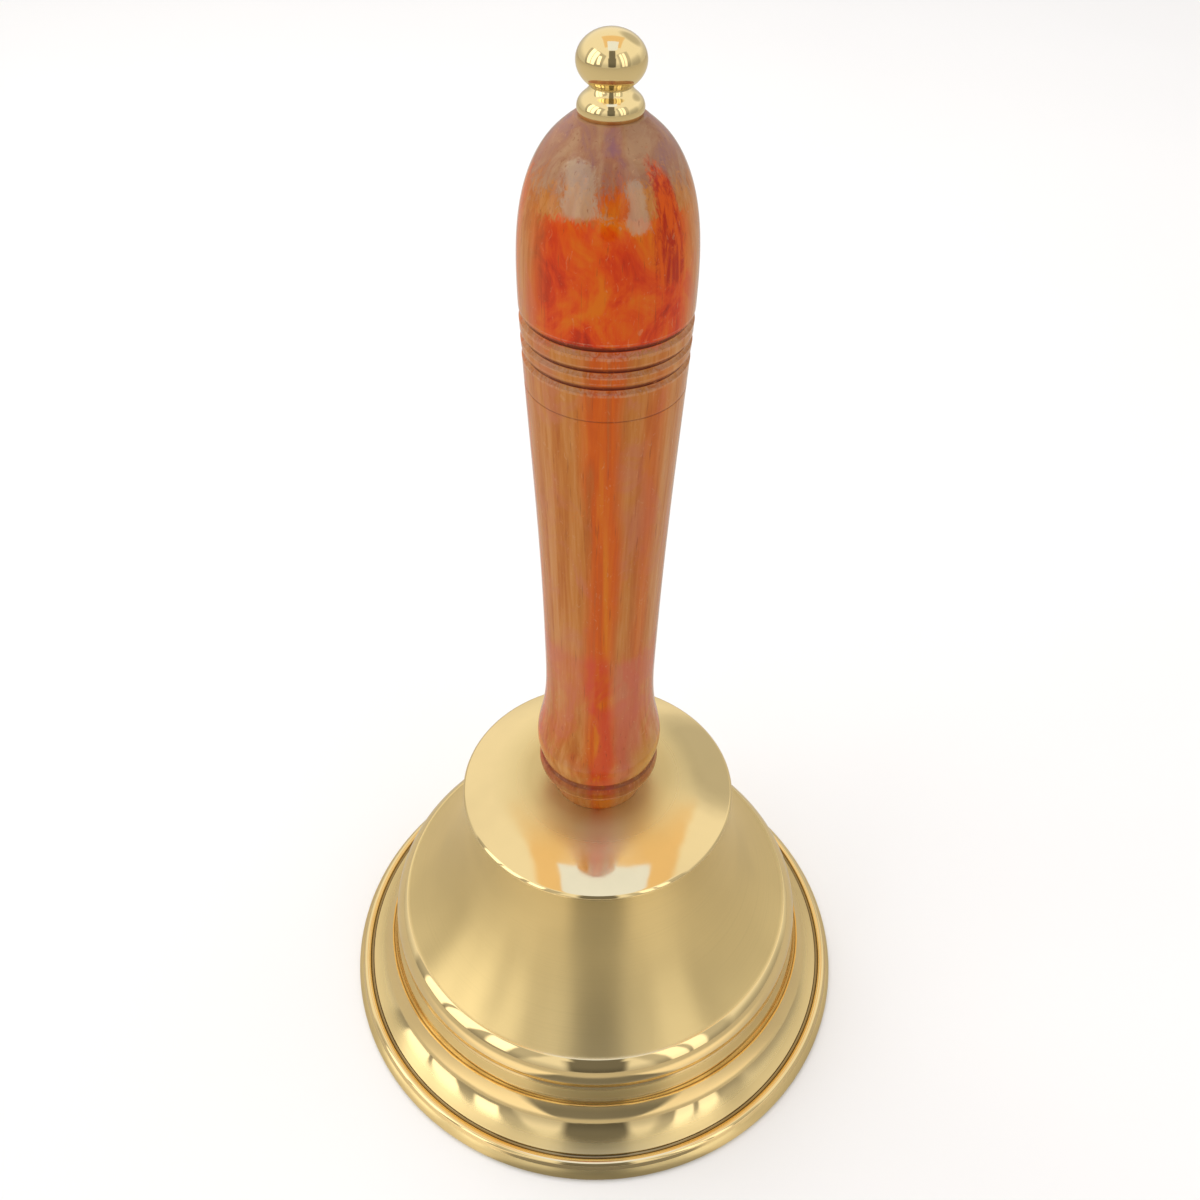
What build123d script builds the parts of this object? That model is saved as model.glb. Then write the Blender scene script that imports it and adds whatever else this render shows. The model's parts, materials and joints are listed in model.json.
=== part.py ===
from build123d import *
import math
import os

# Hand bell: a turned brass bell on a varnished wooden handle.
# Millimetres, +Z up along the bell's axis. The origin is the centre of the
# mouth, in the plane of the rim that the bell stands on.

# ---- bell shell ----
MOUTH_RADIUS = 63.5
RIM_INNER_RADIUS = 60.0
ROD_HOLE_RADIUS = 2.7
CROWN_RADIUS = 31.5
CROWN_TOP = 71.4
CROWN_EDGE = 68.2
CROWN_EDGE_BEVEL = 0.5
CROWN_THICKNESS = 3.2
SEAT_RADIUS = 11.0
WAIST_MIDDLE = (36.0, 44.6)
WAIST_FOOT = (47.6, 28.9)
SHOULDER_TOP = (48.2, 28.7)
SHOULDER_MIDDLE = (50.5, 26.1)
SHOULDER_FOOT = (51.2, 21.6)
BAND_TOP = (50.9, 21.2)
BAND_FOOT = (52.0, 15.7)
COVE_TOP = (52.0, 15.2)
COVE_MIDDLE = (54.6, 8.3)
COVE_FOOT = (59.3, 4.5)
LIP_GROOVE_MIDDLE = (59.8, 4.0)
LIP_BEAD_INNER = (60.2, 4.4)
LIP_BEAD_TOP = (61.1, 4.7)
LIP_BEAD_OUTER = (62.1, 3.8)
LIP_BAND_TOP = (62.3, 3.3)
LIP_BAND_FOOT_HEIGHT = 0.8
INNER_CROWN_RADIUS = 28.0
INNER_WAIST_MIDDLE = (33.2, 43.0)
INNER_WAIST_FOOT = (44.2, 27.0)
INNER_FLARE_TOP = (48.6, 15.6)
INNER_FLARE_MIDDLE = (52.0, 7.2)

# ---- handle ----
HANDLE_TOP = 221.6
HANDLE_TOP_RADIUS = 5.4
HANDLE_BORE_RADIUS = 2.8
FOOT_RING_RADIUS = 10.5
FOOT_RING_TOP = (11.0, 76.4)
FOOT_BEAD_BOTTOM = (12.7, 77.6)
FOOT_BEAD_MIDDLE = (13.35, 79.6)
FOOT_GROOVE_BOTTOM = (12.9, 81.4)
FOOT_GROOVE_MIDDLE = (12.35, 82.2)
FOOT_GROOVE_TOP = (12.95, 83.0)
HANDLE_SWELL = [
    (13.6, 86.5),
    (12.4, 95.0),
    (11.45, 112.0),
    (12.0, 136.0),
    (13.3, 166.0),
    (14.4, 190.0),
    (14.4, 202.0),
    (12.8, 211.5),
    (8.8, 218.7),
]
RING_GROOVES = [(14.05, 183.6), (14.2, 186.8), (14.4, 190.6)]
RING_GROOVE_SIZE = 0.75

# ---- finial ----
COLLAR_HEIGHT = 3.9
COLLAR_BASE_RADIUS = 4.8
COLLAR_RADIUS = 5.0
COLLAR_NECK_RADIUS = 3.1
BALL_RADIUS = 5.15
BALL_HALF_HEIGHT = 4.15
BALL_CENTRE = 229.0
BALL_NECK_RADIUS = 3.2
BALL_THREAD_TOP = 230.4

# ---- tie rod and its fastenings ----
ROD_RADIUS = 2.5
JOURNAL_RADIUS = 2.0
RUNNING_CLEARANCE = 0.05
WASHER_THICKNESS = 1.2
WASHER_RADIUS = 9.0
CROWN_NUT_WIDTH = 8.0
CROWN_NUT_HEIGHT = 4.0
END_FLOAT = 0.15
STRAP_THICKNESS = 2.0
THRUST_WASHER_THICKNESS = 0.8
THRUST_WASHER_RADIUS = 4.5
YOKE_NUT_WIDTH = 7.0
YOKE_NUT_HEIGHT = 2.2
ROD_END_STUB = 0.5

# ---- yoke, pin and clapper ----
YOKE_INNER_WIDTH = 10.4
YOKE_DEPTH = 8.0
YOKE_CORNER_RADIUS = 2.6
PIN_HEIGHT = 52.4
PIN_RADIUS = 1.5
PIN_HEAD_RADIUS = 2.8
PIN_HEAD_LENGTH = 1.4
PIN_STUB = 1.8
CLIP_THICKNESS = 0.7
CLIP_RADIUS = 2.9
CLIP_SLOT = 1.6
EYE_RADIUS = 3.6
EYE_THICKNESS = 4.0
SPACER_RADIUS = 2.6
SIDE_PLAY = 0.2
ARM_RADIUS = 2.0
STRIKER_RADIUS = 12.0
STRIKER_CENTRE = 13.6
STRIKER_FLAT_RADIUS = 3.6
STRIKER_THREAD_BOTTOM = 11.0
JAM_NUT_WIDTH = 7.0
JAM_NUT_HEIGHT = 2.4

# ---- heights that follow from the stack under the crown ----
CROWN_INSIDE = CROWN_TOP - CROWN_THICKNESS
WASHER_BOTTOM = CROWN_INSIDE - WASHER_THICKNESS
CROWN_NUT_BOTTOM = WASHER_BOTTOM - CROWN_NUT_HEIGHT
STRAP_TOP = CROWN_NUT_BOTTOM - END_FLOAT
STRAP_BOTTOM = STRAP_TOP - STRAP_THICKNESS
THRUST_TOP = STRAP_BOTTOM - END_FLOAT
THRUST_BOTTOM = THRUST_TOP - THRUST_WASHER_THICKNESS
YOKE_NUT_BOTTOM = THRUST_BOTTOM - YOKE_NUT_HEIGHT
ROD_BOTTOM = YOKE_NUT_BOTTOM - ROD_END_STUB
YOKE_OUTER_HALF = YOKE_INNER_WIDTH / 2 + STRAP_THICKNESS
COLLAR_TOP = HANDLE_TOP + COLLAR_HEIGHT


def turned(*edges):
    """Solid of revolution about Z of a closed outline of (radius, height) edges."""
    outline = make_face(Curve() + list(edges))
    return revolve(Plane.XZ * outline, Axis.Z)


def tube(outer_radius, inner_radius, bottom, top):
    """Upright ring from one height to another."""
    height = top - bottom
    ring = Cylinder(outer_radius, height) - Cylinder(inner_radius, height)
    return Pos(0, 0, (bottom + top) / 2) * ring


def hex_nut(width, hole_radius, bottom, top):
    """Hexagonal nut whose corners are turned off at 30 degrees on both faces."""
    height = top - bottom
    corner_radius = width / math.sqrt(3)
    blank = extrude(RegularPolygon(width / 2, 6, major_radius=False), height)
    blank = Pos(0, 0, bottom) * blank
    drop = (corner_radius - width / 2 + 0.15) * math.tan(math.radians(30))
    flat_radius = width / 2 - 0.15
    corner_cone = turned(
        Polyline(
            (0, bottom),
            (flat_radius, bottom),
            (corner_radius, bottom + drop),
            (corner_radius, top - drop),
            (flat_radius, top),
            (0, top),
            close=True,
        )
    )
    hole = Pos(0, 0, (bottom + top) / 2) * Cylinder(hole_radius, height)
    return (blank & corner_cone) - hole


def across(radius, start, end, height):
    """Round bar along X between two X positions at one height."""
    bar = Cylinder(radius, end - start)
    return Pos((start + end) / 2, 0, height) * Rot(0, 90, 0) * bar


def make_bell_shell():
    """Brass bell: domed crown disc, waist, shoulder moulding, cove and lip."""
    bevel_top = (CROWN_RADIUS - CROWN_EDGE_BEVEL, CROWN_EDGE)
    bevel_foot = (CROWN_RADIUS, CROWN_EDGE - CROWN_EDGE_BEVEL)
    rim_outer = (MOUTH_RADIUS - 0.4, 0)
    band_foot = (MOUTH_RADIUS, LIP_BAND_FOOT_HEIGHT)
    inner_crown_edge = (INNER_CROWN_RADIUS, CROWN_EDGE - CROWN_THICKNESS)
    return turned(
        Line((ROD_HOLE_RADIUS, CROWN_TOP), (SEAT_RADIUS, CROWN_TOP)),
        TangentArc((SEAT_RADIUS, CROWN_TOP), bevel_top, tangent=(1, 0)),
        Line(bevel_top, bevel_foot),
        ThreePointArc(bevel_foot, WAIST_MIDDLE, WAIST_FOOT),
        Line(WAIST_FOOT, SHOULDER_TOP),
        ThreePointArc(SHOULDER_TOP, SHOULDER_MIDDLE, SHOULDER_FOOT),
        Line(SHOULDER_FOOT, BAND_TOP),
        Line(BAND_TOP, BAND_FOOT),
        Line(BAND_FOOT, COVE_TOP),
        ThreePointArc(COVE_TOP, COVE_MIDDLE, COVE_FOOT),
        ThreePointArc(COVE_FOOT, LIP_GROOVE_MIDDLE, LIP_BEAD_INNER),
        ThreePointArc(LIP_BEAD_INNER, LIP_BEAD_TOP, LIP_BEAD_OUTER),
        Line(LIP_BEAD_OUTER, LIP_BAND_TOP),
        Line(LIP_BAND_TOP, band_foot),
        Line(band_foot, rim_outer),
        Line(rim_outer, (RIM_INNER_RADIUS, 0)),
        ThreePointArc((RIM_INNER_RADIUS, 0), INNER_FLARE_MIDDLE, INNER_FLARE_TOP),
        Line(INNER_FLARE_TOP, INNER_WAIST_FOOT),
        ThreePointArc(INNER_WAIST_FOOT, INNER_WAIST_MIDDLE, inner_crown_edge),
        Line(inner_crown_edge, (SEAT_RADIUS, CROWN_INSIDE)),
        Line((SEAT_RADIUS, CROWN_INSIDE), (ROD_HOLE_RADIUS, CROWN_INSIDE)),
        Line((ROD_HOLE_RADIUS, CROWN_INSIDE), (ROD_HOLE_RADIUS, CROWN_TOP)),
    )


def make_handle():
    """Turned wooden handle, bored through, with a beaded foot and three ring grooves."""
    foot_corner = (FOOT_RING_RADIUS, CROWN_TOP)
    top_corner = (HANDLE_TOP_RADIUS, HANDLE_TOP)
    body = turned(
        Line((HANDLE_BORE_RADIUS, CROWN_TOP), foot_corner),
        Line(foot_corner, FOOT_RING_TOP),
        Line(FOOT_RING_TOP, FOOT_BEAD_BOTTOM),
        ThreePointArc(FOOT_BEAD_BOTTOM, FOOT_BEAD_MIDDLE, FOOT_GROOVE_BOTTOM),
        ThreePointArc(FOOT_GROOVE_BOTTOM, FOOT_GROOVE_MIDDLE, FOOT_GROOVE_TOP),
        Spline(FOOT_GROOVE_TOP, *HANDLE_SWELL, top_corner),
        Line(top_corner, (HANDLE_BORE_RADIUS, HANDLE_TOP)),
        Line((HANDLE_BORE_RADIUS, HANDLE_TOP), (HANDLE_BORE_RADIUS, CROWN_TOP)),
    )
    for radius, height in RING_GROOVES:
        body -= Pos(0, 0, height) * Torus(radius + RING_GROOVE_SIZE / 4, RING_GROOVE_SIZE)
    return body


def make_finial_collar():
    """Brass collar that flares from a neck to a rounded base on the wood."""
    base = (COLLAR_BASE_RADIUS, HANDLE_TOP)
    widest = (COLLAR_RADIUS, HANDLE_TOP + 0.9)
    shoulder = (COLLAR_RADIUS - 0.45, HANDLE_TOP + 2.3)
    throat = (COLLAR_NECK_RADIUS + 0.35, COLLAR_TOP - 0.55)
    neck = (COLLAR_NECK_RADIUS, COLLAR_TOP)
    return turned(
        Line((ROD_RADIUS, HANDLE_TOP), base),
        Spline(base, widest, shoulder, throat, neck),
        Line(neck, (ROD_RADIUS, COLLAR_TOP)),
        Line((ROD_RADIUS, COLLAR_TOP), (ROD_RADIUS, HANDLE_TOP)),
    )


def make_finial_ball():
    """Brass ball nut: a slightly flattened ball on a short neck, tapped from below."""
    flattening = BALL_HALF_HEIGHT / BALL_RADIUS
    ball = Pos(0, 0, BALL_CENTRE) * scale(Sphere(BALL_RADIUS), by=(1, 1, flattening))
    neck_height = BALL_CENTRE - COLLAR_TOP
    neck = Pos(0, 0, COLLAR_TOP + neck_height / 2) * Cylinder(BALL_NECK_RADIUS, neck_height)
    below_neck = Pos(0, 0, COLLAR_TOP - BALL_RADIUS) * Box(
        2 * BALL_RADIUS, 2 * BALL_RADIUS, 2 * BALL_RADIUS
    )
    thread_depth = BALL_THREAD_TOP - COLLAR_TOP
    tapped = Pos(0, 0, COLLAR_TOP + thread_depth / 2) * Cylinder(ROD_RADIUS, thread_depth)
    return ball + neck - below_neck - tapped


def make_tie_rod():
    """Steel rod from the ball nut down through the crown, stepped to a thin journal."""
    long_part = Cylinder(ROD_RADIUS, BALL_THREAD_TOP - CROWN_NUT_BOTTOM)
    long_part = Pos(0, 0, (BALL_THREAD_TOP + CROWN_NUT_BOTTOM) / 2) * long_part
    journal = Cylinder(JOURNAL_RADIUS, CROWN_NUT_BOTTOM - ROD_BOTTOM)
    journal = Pos(0, 0, (CROWN_NUT_BOTTOM + ROD_BOTTOM) / 2) * journal
    return long_part + journal


def make_clapper_yoke():
    """Bent steel strap: a top with a running hole, and two legs bored for the pin."""
    outer_width = 2 * YOKE_OUTER_HALF
    leg_bottom = PIN_HEIGHT - YOKE_DEPTH / 2
    height = STRAP_TOP - leg_bottom
    middle = (STRAP_TOP + leg_bottom) / 2
    outside = Pos(0, 0, middle) * Box(outer_width, YOKE_DEPTH, height)
    top_edges = outside.edges().filter_by(Axis.Y).group_by(Axis.Z)[-1]
    outside = fillet(top_edges, YOKE_CORNER_RADIUS)
    inside_height = STRAP_BOTTOM - leg_bottom
    inside = Pos(0, 0, leg_bottom + inside_height / 2) * Box(
        YOKE_INNER_WIDTH, YOKE_DEPTH, inside_height
    )
    inner_edges = inside.edges().filter_by(Axis.Y).group_by(Axis.Z)[-1]
    inside = fillet(inner_edges, YOKE_CORNER_RADIUS - STRAP_THICKNESS)
    leg_end = across(YOKE_DEPTH / 2, -YOKE_OUTER_HALF, YOKE_OUTER_HALF, PIN_HEIGHT)
    above_pin = Pos(0, 0, (STRAP_TOP + PIN_HEIGHT) / 2) * Box(
        outer_width, YOKE_DEPTH, STRAP_TOP - PIN_HEIGHT
    )
    strap = (outside - inside) & (leg_end + above_pin)
    rod_hole = Cylinder(JOURNAL_RADIUS + RUNNING_CLEARANCE, STRAP_THICKNESS)
    rod_hole = Pos(0, 0, (STRAP_TOP + STRAP_BOTTOM) / 2) * rod_hole
    pin_hole = across(PIN_RADIUS, -YOKE_OUTER_HALF, YOKE_OUTER_HALF, PIN_HEIGHT)
    return strap - rod_hole - pin_hole


def make_clapper_pin():
    """Headed pin through both legs, with a stub past the far leg for its clip."""
    shank_end = YOKE_OUTER_HALF + PIN_STUB
    shank = across(PIN_RADIUS, -YOKE_OUTER_HALF, shank_end, PIN_HEIGHT)
    head = across(
        PIN_HEAD_RADIUS, -YOKE_OUTER_HALF - PIN_HEAD_LENGTH, -YOKE_OUTER_HALF, PIN_HEIGHT
    )
    head_rim = head.edges().filter_by(GeomType.CIRCLE).sort_by(Axis.X)[0]
    head = fillet(head_rim, PIN_HEAD_LENGTH * 0.6)
    return shank + head


def make_pin_clip():
    """Open spring clip on the pin's stub, beside the far leg."""
    start = YOKE_OUTER_HALF + 0.3
    disc = across(CLIP_RADIUS, start, start + CLIP_THICKNESS, PIN_HEIGHT)
    hole = across(PIN_RADIUS, start, start + CLIP_THICKNESS, PIN_HEIGHT)
    slot = Box(CLIP_THICKNESS, CLIP_SLOT, CLIP_RADIUS * 2)
    slot = Pos(start + CLIP_THICKNESS / 2, 0, PIN_HEIGHT - CLIP_RADIUS) * slot
    return disc - hole - slot


def make_pin_spacers():
    """Two short tubes on the pin that keep the clapper in the middle of the yoke."""
    inner_end = EYE_THICKNESS / 2 + SIDE_PLAY
    outer_end = YOKE_INNER_WIDTH / 2
    spacers = []
    for start, end in ((-outer_end, -inner_end), (inner_end, outer_end)):
        sleeve = across(SPACER_RADIUS, start, end, PIN_HEIGHT)
        spacers.append(sleeve - across(PIN_RADIUS, start, end, PIN_HEIGHT))
    return Compound(spacers)


def make_clapper_arm():
    """Round arm with a flat eye on the pin and a threaded end in the striker."""
    half_eye = EYE_THICKNESS / 2
    eye = across(EYE_RADIUS, -half_eye, half_eye, PIN_HEIGHT)
    shaft = Cylinder(ARM_RADIUS, PIN_HEIGHT - STRIKER_THREAD_BOTTOM)
    shaft = Pos(0, 0, (PIN_HEIGHT + STRIKER_THREAD_BOTTOM) / 2) * shaft
    pin_hole = across(PIN_RADIUS + RUNNING_CLEARANCE, -half_eye, half_eye, PIN_HEIGHT)
    return eye + shaft - pin_hole


def make_clapper_ball():
    """Brass striking ball, flattened on top for its jam nut and tapped for the arm."""
    flat_rise = math.sqrt(STRIKER_RADIUS**2 - STRIKER_FLAT_RADIUS**2)
    ball = Pos(0, 0, STRIKER_CENTRE) * Sphere(STRIKER_RADIUS)
    keep_height = STRIKER_RADIUS + flat_rise
    keep = Pos(0, 0, STRIKER_CENTRE - STRIKER_RADIUS + keep_height / 2) * Cylinder(
        STRIKER_RADIUS, keep_height
    )
    thread_depth = STRIKER_CENTRE + flat_rise - STRIKER_THREAD_BOTTOM
    tapped = Cylinder(ARM_RADIUS, thread_depth)
    tapped = Pos(0, 0, STRIKER_THREAD_BOTTOM + thread_depth / 2) * tapped
    return (ball & keep) - tapped


def make_parts():
    """Every piece of the bell by name, each in its place."""
    striker_top = STRIKER_CENTRE + math.sqrt(STRIKER_RADIUS**2 - STRIKER_FLAT_RADIUS**2)
    jam_top = striker_top + JAM_NUT_HEIGHT
    return {
        "bell_shell": make_bell_shell(),
        "handle": make_handle(),
        "finial_collar": make_finial_collar(),
        "finial_ball": make_finial_ball(),
        "tie_rod": make_tie_rod(),
        "crown_washer": tube(WASHER_RADIUS, ROD_RADIUS + 0.2, WASHER_BOTTOM, CROWN_INSIDE),
        "crown_nut": hex_nut(CROWN_NUT_WIDTH, ROD_RADIUS, CROWN_NUT_BOTTOM, WASHER_BOTTOM),
        "thrust_washer": tube(THRUST_WASHER_RADIUS, JOURNAL_RADIUS, THRUST_BOTTOM, THRUST_TOP),
        "yoke_nut": hex_nut(YOKE_NUT_WIDTH, JOURNAL_RADIUS, YOKE_NUT_BOTTOM, THRUST_BOTTOM),
        "clapper_yoke": make_clapper_yoke(),
        "clapper_pin": make_clapper_pin(),
        "pin_clip": make_pin_clip(),
        "pin_spacers": make_pin_spacers(),
        "clapper_arm": make_clapper_arm(),
        "clapper_ball": make_clapper_ball(),
        "jam_nut": hex_nut(JAM_NUT_WIDTH, ARM_RADIUS, striker_top, jam_top),
    }


os.makedirs("parts", exist_ok=True)
for name, shape in make_parts().items():
    export_step(shape, f"parts/{name}.step")
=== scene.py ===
import json
import math

import bpy
import numpy as np
from mathutils import Matrix, Vector


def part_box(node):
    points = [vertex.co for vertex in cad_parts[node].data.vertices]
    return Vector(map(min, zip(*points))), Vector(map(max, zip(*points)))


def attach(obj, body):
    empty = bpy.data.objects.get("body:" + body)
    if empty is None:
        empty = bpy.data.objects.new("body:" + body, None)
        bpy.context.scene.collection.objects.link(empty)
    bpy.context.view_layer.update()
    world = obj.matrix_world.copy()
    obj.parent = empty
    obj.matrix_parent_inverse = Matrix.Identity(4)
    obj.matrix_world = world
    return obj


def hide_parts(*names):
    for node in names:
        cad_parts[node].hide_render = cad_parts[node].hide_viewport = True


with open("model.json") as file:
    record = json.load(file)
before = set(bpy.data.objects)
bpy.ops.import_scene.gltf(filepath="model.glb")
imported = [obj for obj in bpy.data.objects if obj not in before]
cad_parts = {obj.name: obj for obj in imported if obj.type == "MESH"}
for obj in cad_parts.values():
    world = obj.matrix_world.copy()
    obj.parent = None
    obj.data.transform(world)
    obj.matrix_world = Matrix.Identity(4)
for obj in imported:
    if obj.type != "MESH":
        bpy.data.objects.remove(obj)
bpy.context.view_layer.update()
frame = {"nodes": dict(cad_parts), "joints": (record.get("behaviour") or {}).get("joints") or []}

MM = 0.001

# ---------------------------------------------------------------- sizes, mm
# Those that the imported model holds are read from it; the rest shape the turned outlines.


def box_mm(node):
    """Lowest and highest corner of a CAD node, in millimetres."""
    low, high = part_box(node)
    return low / MM, high / MM


shell_high = box_mm("bell_shell")[1]
handle_low, handle_high = box_mm("handle")
collar_low, collar_high = box_mm("finial_collar")
ball_low, ball_high = box_mm("finial_ball")
rod_low, rod_high = box_mm("tie_rod")
washer_low, washer_high = box_mm("crown_washer")
crown_nut_low, crown_nut_high = box_mm("crown_nut")
thrust_low, thrust_high = box_mm("thrust_washer")
yoke_nut_low, yoke_nut_high = box_mm("yoke_nut")
yoke_low = box_mm("clapper_yoke")[0]
striker_low, striker_high = box_mm("clapper_ball")
jam_low, jam_high = box_mm("jam_nut")
pin_low, pin_high = box_mm("clapper_pin")
spacer_low, spacer_high = box_mm("pin_spacers")

MOUTH_RADIUS = shell_high.x
CROWN_TOP = shell_high.z
CROWN_INSIDE = washer_high.z
SWING = next(j for j in frame["joints"] if j["name"] == "clapper_swing")
PIN_HEIGHT = SWING["pos_m"][2] / MM
ROD_HOLE = 2.7
ROD_END_RADIUS = 2.0
PIN_RADIUS = 1.5

# Finish values for brass: satin, rough from the tool, mirror, and dark brown in a corner.
SATIN = 0.0
RAW = 0.12
MIRROR = 1.0
DARK_CORNER = 1.8

# ---------------------------------------------------------------- outlines


def arc(start, middle, end, count=24):
    """Points of the circular arc through three (radius, height) points."""
    (x1, y1), (x2, y2), (x3, y3) = start, middle, end
    d = 2 * (x1 * (y2 - y3) + x2 * (y3 - y1) + x3 * (y1 - y2))
    s1, s2, s3 = x1 * x1 + y1 * y1, x2 * x2 + y2 * y2, x3 * x3 + y3 * y3
    cx = (s1 * (y2 - y3) + s2 * (y3 - y1) + s3 * (y1 - y2)) / d
    cy = (s1 * (x3 - x2) + s2 * (x1 - x3) + s3 * (x2 - x1)) / d
    angles = np.unwrap([math.atan2(y - cy, x - cx) for x, y in (start, middle, end)])
    radius = math.hypot(x1 - cx, y1 - cy)
    turn = np.linspace(angles[0], angles[2], count)
    return [(cx + radius * math.cos(a), cy + radius * math.sin(a)) for a in turn]


def dome(start, end, count=32):
    """Points of the arc that leaves start level and comes down to end."""
    run, drop = end[0] - start[0], start[1] - end[1]
    radius = (run * run + drop * drop) / (2 * drop)
    turn = np.linspace(0, math.asin(run / radius), count)
    return [(start[0] + radius * math.sin(a), start[1] - radius * (1 - math.cos(a))) for a in turn]


def ellipse(centre, half_width, half_height, start, end, count=48):
    """Points of an elliptical arc about a centre on the axis, between two angles in degrees."""
    turn = np.radians(np.linspace(start, end, count))
    return [(half_width * math.cos(a), centre + half_height * math.sin(a)) for a in turn]


def flowing(points, count=240):
    """Natural cubic curve through a few (radius, height) points."""
    p = np.array(points, float)
    t = np.concatenate([[0], np.cumsum(np.hypot(*np.diff(p, axis=0).T))])
    h = np.diff(t)
    n = len(t)
    a = np.eye(n)
    b = np.zeros((n, 2))
    for i in range(1, n - 1):
        a[i, i - 1 : i + 2] = h[i - 1], 2 * (h[i - 1] + h[i]), h[i]
        b[i] = 6 * ((p[i + 1] - p[i]) / h[i] - (p[i] - p[i - 1]) / h[i - 1])
    m = np.linalg.solve(a, b)
    out = []
    for s in np.linspace(0, t[-1], count):
        i = min(np.searchsorted(t, s, side="right") - 1, n - 2)
        u, v = t[i + 1] - s, s - t[i]
        linear = (p[i] / h[i] - m[i] * h[i] / 6) * u + (p[i + 1] / h[i] - m[i + 1] * h[i] / 6) * v
        out.append(tuple((m[i] * u**3 + m[i + 1] * v**3) / (6 * h[i]) + linear))
    return out


def marked(points, value):
    """The points with one finish value each, which the material reads."""
    return [(r, z, value) for r, z in points]


def faded(points, first, last):
    """The points with a finish value that changes evenly from first to last."""
    values = np.linspace(first, last, len(points))
    return [(r, z, v) for (r, z), v in zip(points, values)]


def softened(points, radius, closed=False, steps=5, least_turn=math.radians(9)):
    """The outline with each corner rounded, so that edges catch light as turned metal does."""
    p = [np.array(q, float) for q in points]
    p = [q for i, q in enumerate(p) if i == 0 or np.hypot(*(q - p[i - 1])[:2]) > 1e-5]
    if closed and np.hypot(*(p[0] - p[-1])[:2]) < 1e-5:
        p.pop()
    out = []
    for i, here in enumerate(p):
        if not closed and i in (0, len(p) - 1):
            out.append(here)
            continue
        back = p[i - 1] - here
        on = p[(i + 1) % len(p)] - here
        lb, lo = np.hypot(*back[:2]), np.hypot(*on[:2])
        cosine = np.dot(back[:2], on[:2]) / (lb * lo)
        turn = math.pi - math.acos(max(-1, min(1, cosine)))
        if turn < least_turn:
            out.append(here)
            continue
        cut = min(radius, 0.45 * lb, 0.45 * lo)
        a, b = here + back * cut / lb, here + on * cut / lo
        for s in np.linspace(0, 1, steps):
            out.append((1 - s) ** 2 * a + 2 * s * (1 - s) * here + s * s * b)
    return [tuple(q) for q in out]


# ---------------------------------------------------------------- meshes


def mesh_object(name, vertices, faces, finish=None, smooth=True):
    """A mesh in metres from vertices in millimetres, with a finish value per vertex."""
    mesh = bpy.data.meshes.new(name)
    mesh.from_pydata([tuple(c * MM for c in v) for v in vertices], [], faces)
    mesh.validate()
    mesh.shade_smooth() if smooth else mesh.shade_flat()
    if finish is not None:
        layer = mesh.attributes.new("finish", "FLOAT", "POINT")
        layer.data.foreach_set("value", np.array(finish, np.float32))
    piece = bpy.data.objects.new(name, mesh)
    bpy.context.scene.collection.objects.link(piece)
    return piece


def lathe(name, outline, closed=False, segments=192, wobble=None):
    """Turned piece from (radius, height, finish) points. A point on the axis makes a pole."""
    vertices, finish, rings = [], [], []
    for r, z, value in outline:
        if r < 1e-6:
            rings.append([len(vertices)])
            vertices.append((0, 0, z))
            finish.append(value)
            continue
        ring = []
        for k in range(segments):
            angle = 2 * math.pi * k / segments
            radius = r + (wobble(angle, r, z) if wobble else 0)
            ring.append(len(vertices))
            vertices.append((radius * math.cos(angle), radius * math.sin(angle), z))
            finish.append(value)
        rings.append(ring)
    faces = []
    pairs = list(zip(rings, rings[1:]))
    if closed:
        pairs.append((rings[-1], rings[0]))
    for low, high in pairs:
        for k in range(segments):
            j = (k + 1) % segments
            if len(low) == 1:
                faces.append((low[0], high[j], high[k]))
            elif len(high) == 1:
                faces.append((low[k], low[j], high[0]))
            else:
                faces.append((low[k], low[j], high[j], high[k]))
    return mesh_object(name, vertices, faces, finish)


def turned_sideways(piece):
    """Lays a piece that was turned about Z along X, at the pin's height."""
    piece.data.transform(Matrix.Rotation(math.radians(90), 4, "Y"))
    piece.data.transform(Matrix.Translation((0, 0, PIN_HEIGHT * MM)))
    return piece


def ring_outline(outer, inner, low, high, edge, value=MIRROR):
    """Closed outline of a plain ring with softened edges."""
    corners = [(inner, low), (outer, low), (outer, high), (inner, high)]
    return softened(marked(corners, value), edge, closed=True)


def threaded(name, radius, pitch, low, high, segments=72):
    """Screw thread about Z from low to high, with a chamfered lower end."""
    depth = 0.54 * pitch
    chamfer = 0.9 * pitch
    flank_slope, crest_flat = 1.25, 0.12
    rows_per_turn = 12
    count = int((high - low) / pitch * rows_per_turn) + 1
    vertices, faces = [], []
    for i in range(count + 1):
        z = low + (high - low) * i / count
        for k in range(segments):
            phase = (z / pitch + k / segments) % 1
            crest = 1 - abs(2 * phase - 1)
            cut = depth * min(1, max(0, flank_slope * crest - crest_flat))
            taper = max(0, 1 - (z - low) / chamfer)
            r = radius - max(cut, depth * taper)
            angle = 2 * math.pi * k / segments
            vertices.append((r * math.cos(angle), r * math.sin(angle), z))
    for i in range(count):
        for k in range(segments):
            j = (k + 1) % segments
            a, b = i * segments, (i + 1) * segments
            faces.append((a + k, a + j, b + j, b + k))
    vertices.append((0, 0, low))
    bottom = len(vertices) - 1
    vertices.append((0, 0, high))
    top = len(vertices) - 1
    last = count * segments
    for k in range(segments):
        j = (k + 1) % segments
        faces.append((bottom, j, k))
        faces.append((top, last + k, last + j))
    return mesh_object(name, vertices, faces, [MIRROR] * len(vertices))


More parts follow.
